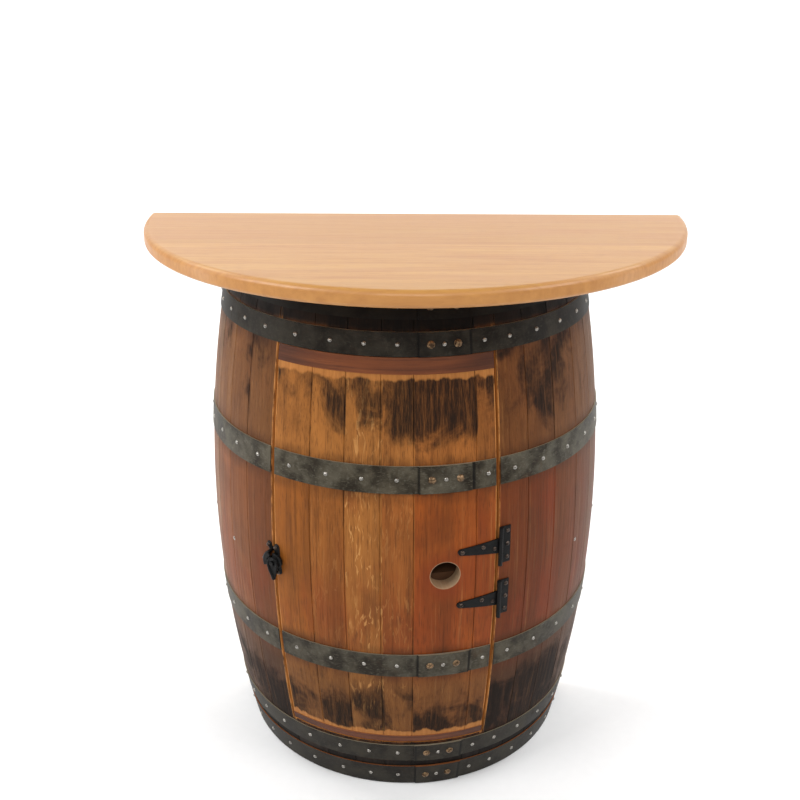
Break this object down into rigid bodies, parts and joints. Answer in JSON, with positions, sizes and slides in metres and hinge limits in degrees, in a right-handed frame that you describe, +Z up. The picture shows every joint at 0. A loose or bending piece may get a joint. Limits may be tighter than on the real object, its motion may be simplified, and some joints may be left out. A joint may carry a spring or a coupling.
{
  "type": "wine rack",
  "caption": "Half wine barrel on its end with a hinged stave door, shelf and scalloped bottle rails inside, under a half-round oak top.",
  "frame": {"origin": "centre of the bounding box at floor level", "axes": "+Z up, -Y the front with the door, +X to the right as seen from the front"},
  "size_m": [0.892, 0.446, 0.947],
  "materials": {
    "frame_stave_oak": "weathered, waxed",
    "door_stave_oak": "sanded and oiled",
    "door_rail_wood": "oiled",
    "hoop_steel": "weathered galvanised strip",
    "zinc_screw": "bright zinc",
    "hoop_rivet": "dark, worn",
    "inner_oak": "bare",
    "birch_plywood": "bare plywood",
    "top_oak": "clear satin lacquer",
    "black_iron": "black, semi-gloss",
    "black_screw": "black, worn bright on the heads"
  },
  "bodies": {
    "frame": {"stave_left_1": "frame_stave_oak", "stave_left_2": "frame_stave_oak", "stave_left_3": "frame_stave_oak", "stave_left_4": "frame_stave_oak", "stave_left_5": "frame_stave_oak", "stave_right_1": "frame_stave_oak", "stave_right_2": "frame_stave_oak", "stave_right_3": "frame_stave_oak", "stave_right_4": "frame_stave_oak", "stave_right_5": "frame_stave_oak", "stave_right_6": "frame_stave_oak", "header_staves": "frame_stave_oak", "sill_staves": "frame_stave_oak", "head_hoop": "hoop_steel", "upper_quarter_hoop": "hoop_steel", "lower_quarter_hoop": "hoop_steel", "foot_hoop": "hoop_steel", "upper_bilge_hoop_left": "hoop_steel", "upper_bilge_hoop_right": "hoop_steel", "lower_bilge_hoop_left": "hoop_steel", "lower_bilge_hoop_right": "hoop_steel", "hoop_screws": "zinc_screw", "hoop_rivets": "hoop_rivet", "top_head": "inner_oak", "bottom_head": "inner_oak", "back_panel": "birch_plywood", "panel_screws": "zinc_screw", "shelf": "inner_oak", "shelf_screws": "zinc_screw", "shelf_bottle_rails": "inner_oak", "floor_bottle_rails": "inner_oak", "top_board_1": "top_oak", "top_board_2": "top_oak", "top_board_3": "top_oak", "top_board_4": "top_oak", "top_board_5": "top_oak", "top_bearers": "inner_oak", "bearer_screws": "zinc_screw", "hinge_leaves": "black_iron", "hinge_pins": "black_iron", "latch_keeper": "black_iron", "frame_hardware_screws": "black_screw"},
    "door": {"door_stave_1": "door_stave_oak", "door_stave_2": "door_stave_oak", "door_stave_3": "door_stave_oak", "door_stave_4": "door_stave_oak", "door_stave_5": "door_stave_oak", "door_stave_6": "door_stave_oak", "door_top_rail": "door_rail_wood", "door_bottom_rail": "door_rail_wood", "door_battens": "inner_oak", "upper_bilge_hoop_door": "hoop_steel", "lower_bilge_hoop_door": "hoop_steel", "door_hoop_screws": "zinc_screw", "door_hoop_rivets": "hoop_rivet", "hinge_straps": "black_iron", "latch_base": "black_iron", "door_hardware_screws": "black_screw"},
    "lever": {"latch_lever": "black_iron"}
  },
  "joints": [
    {"name": "door_hinge", "type": "hinge", "parent": "frame", "child": "door", "pos_m": [0.14005, -0.08807, 0.4418], "axis": [0, 0, 1], "range_deg": [0, 160]},
    {"name": "lever_pivot", "type": "hinge", "parent": "door", "child": "lever", "pos_m": [-0.21824, -0.05615, 0.441], "axis": [-0.5859, -0.8103, -0.0044], "range_deg": [0, 100]}
  ]
}
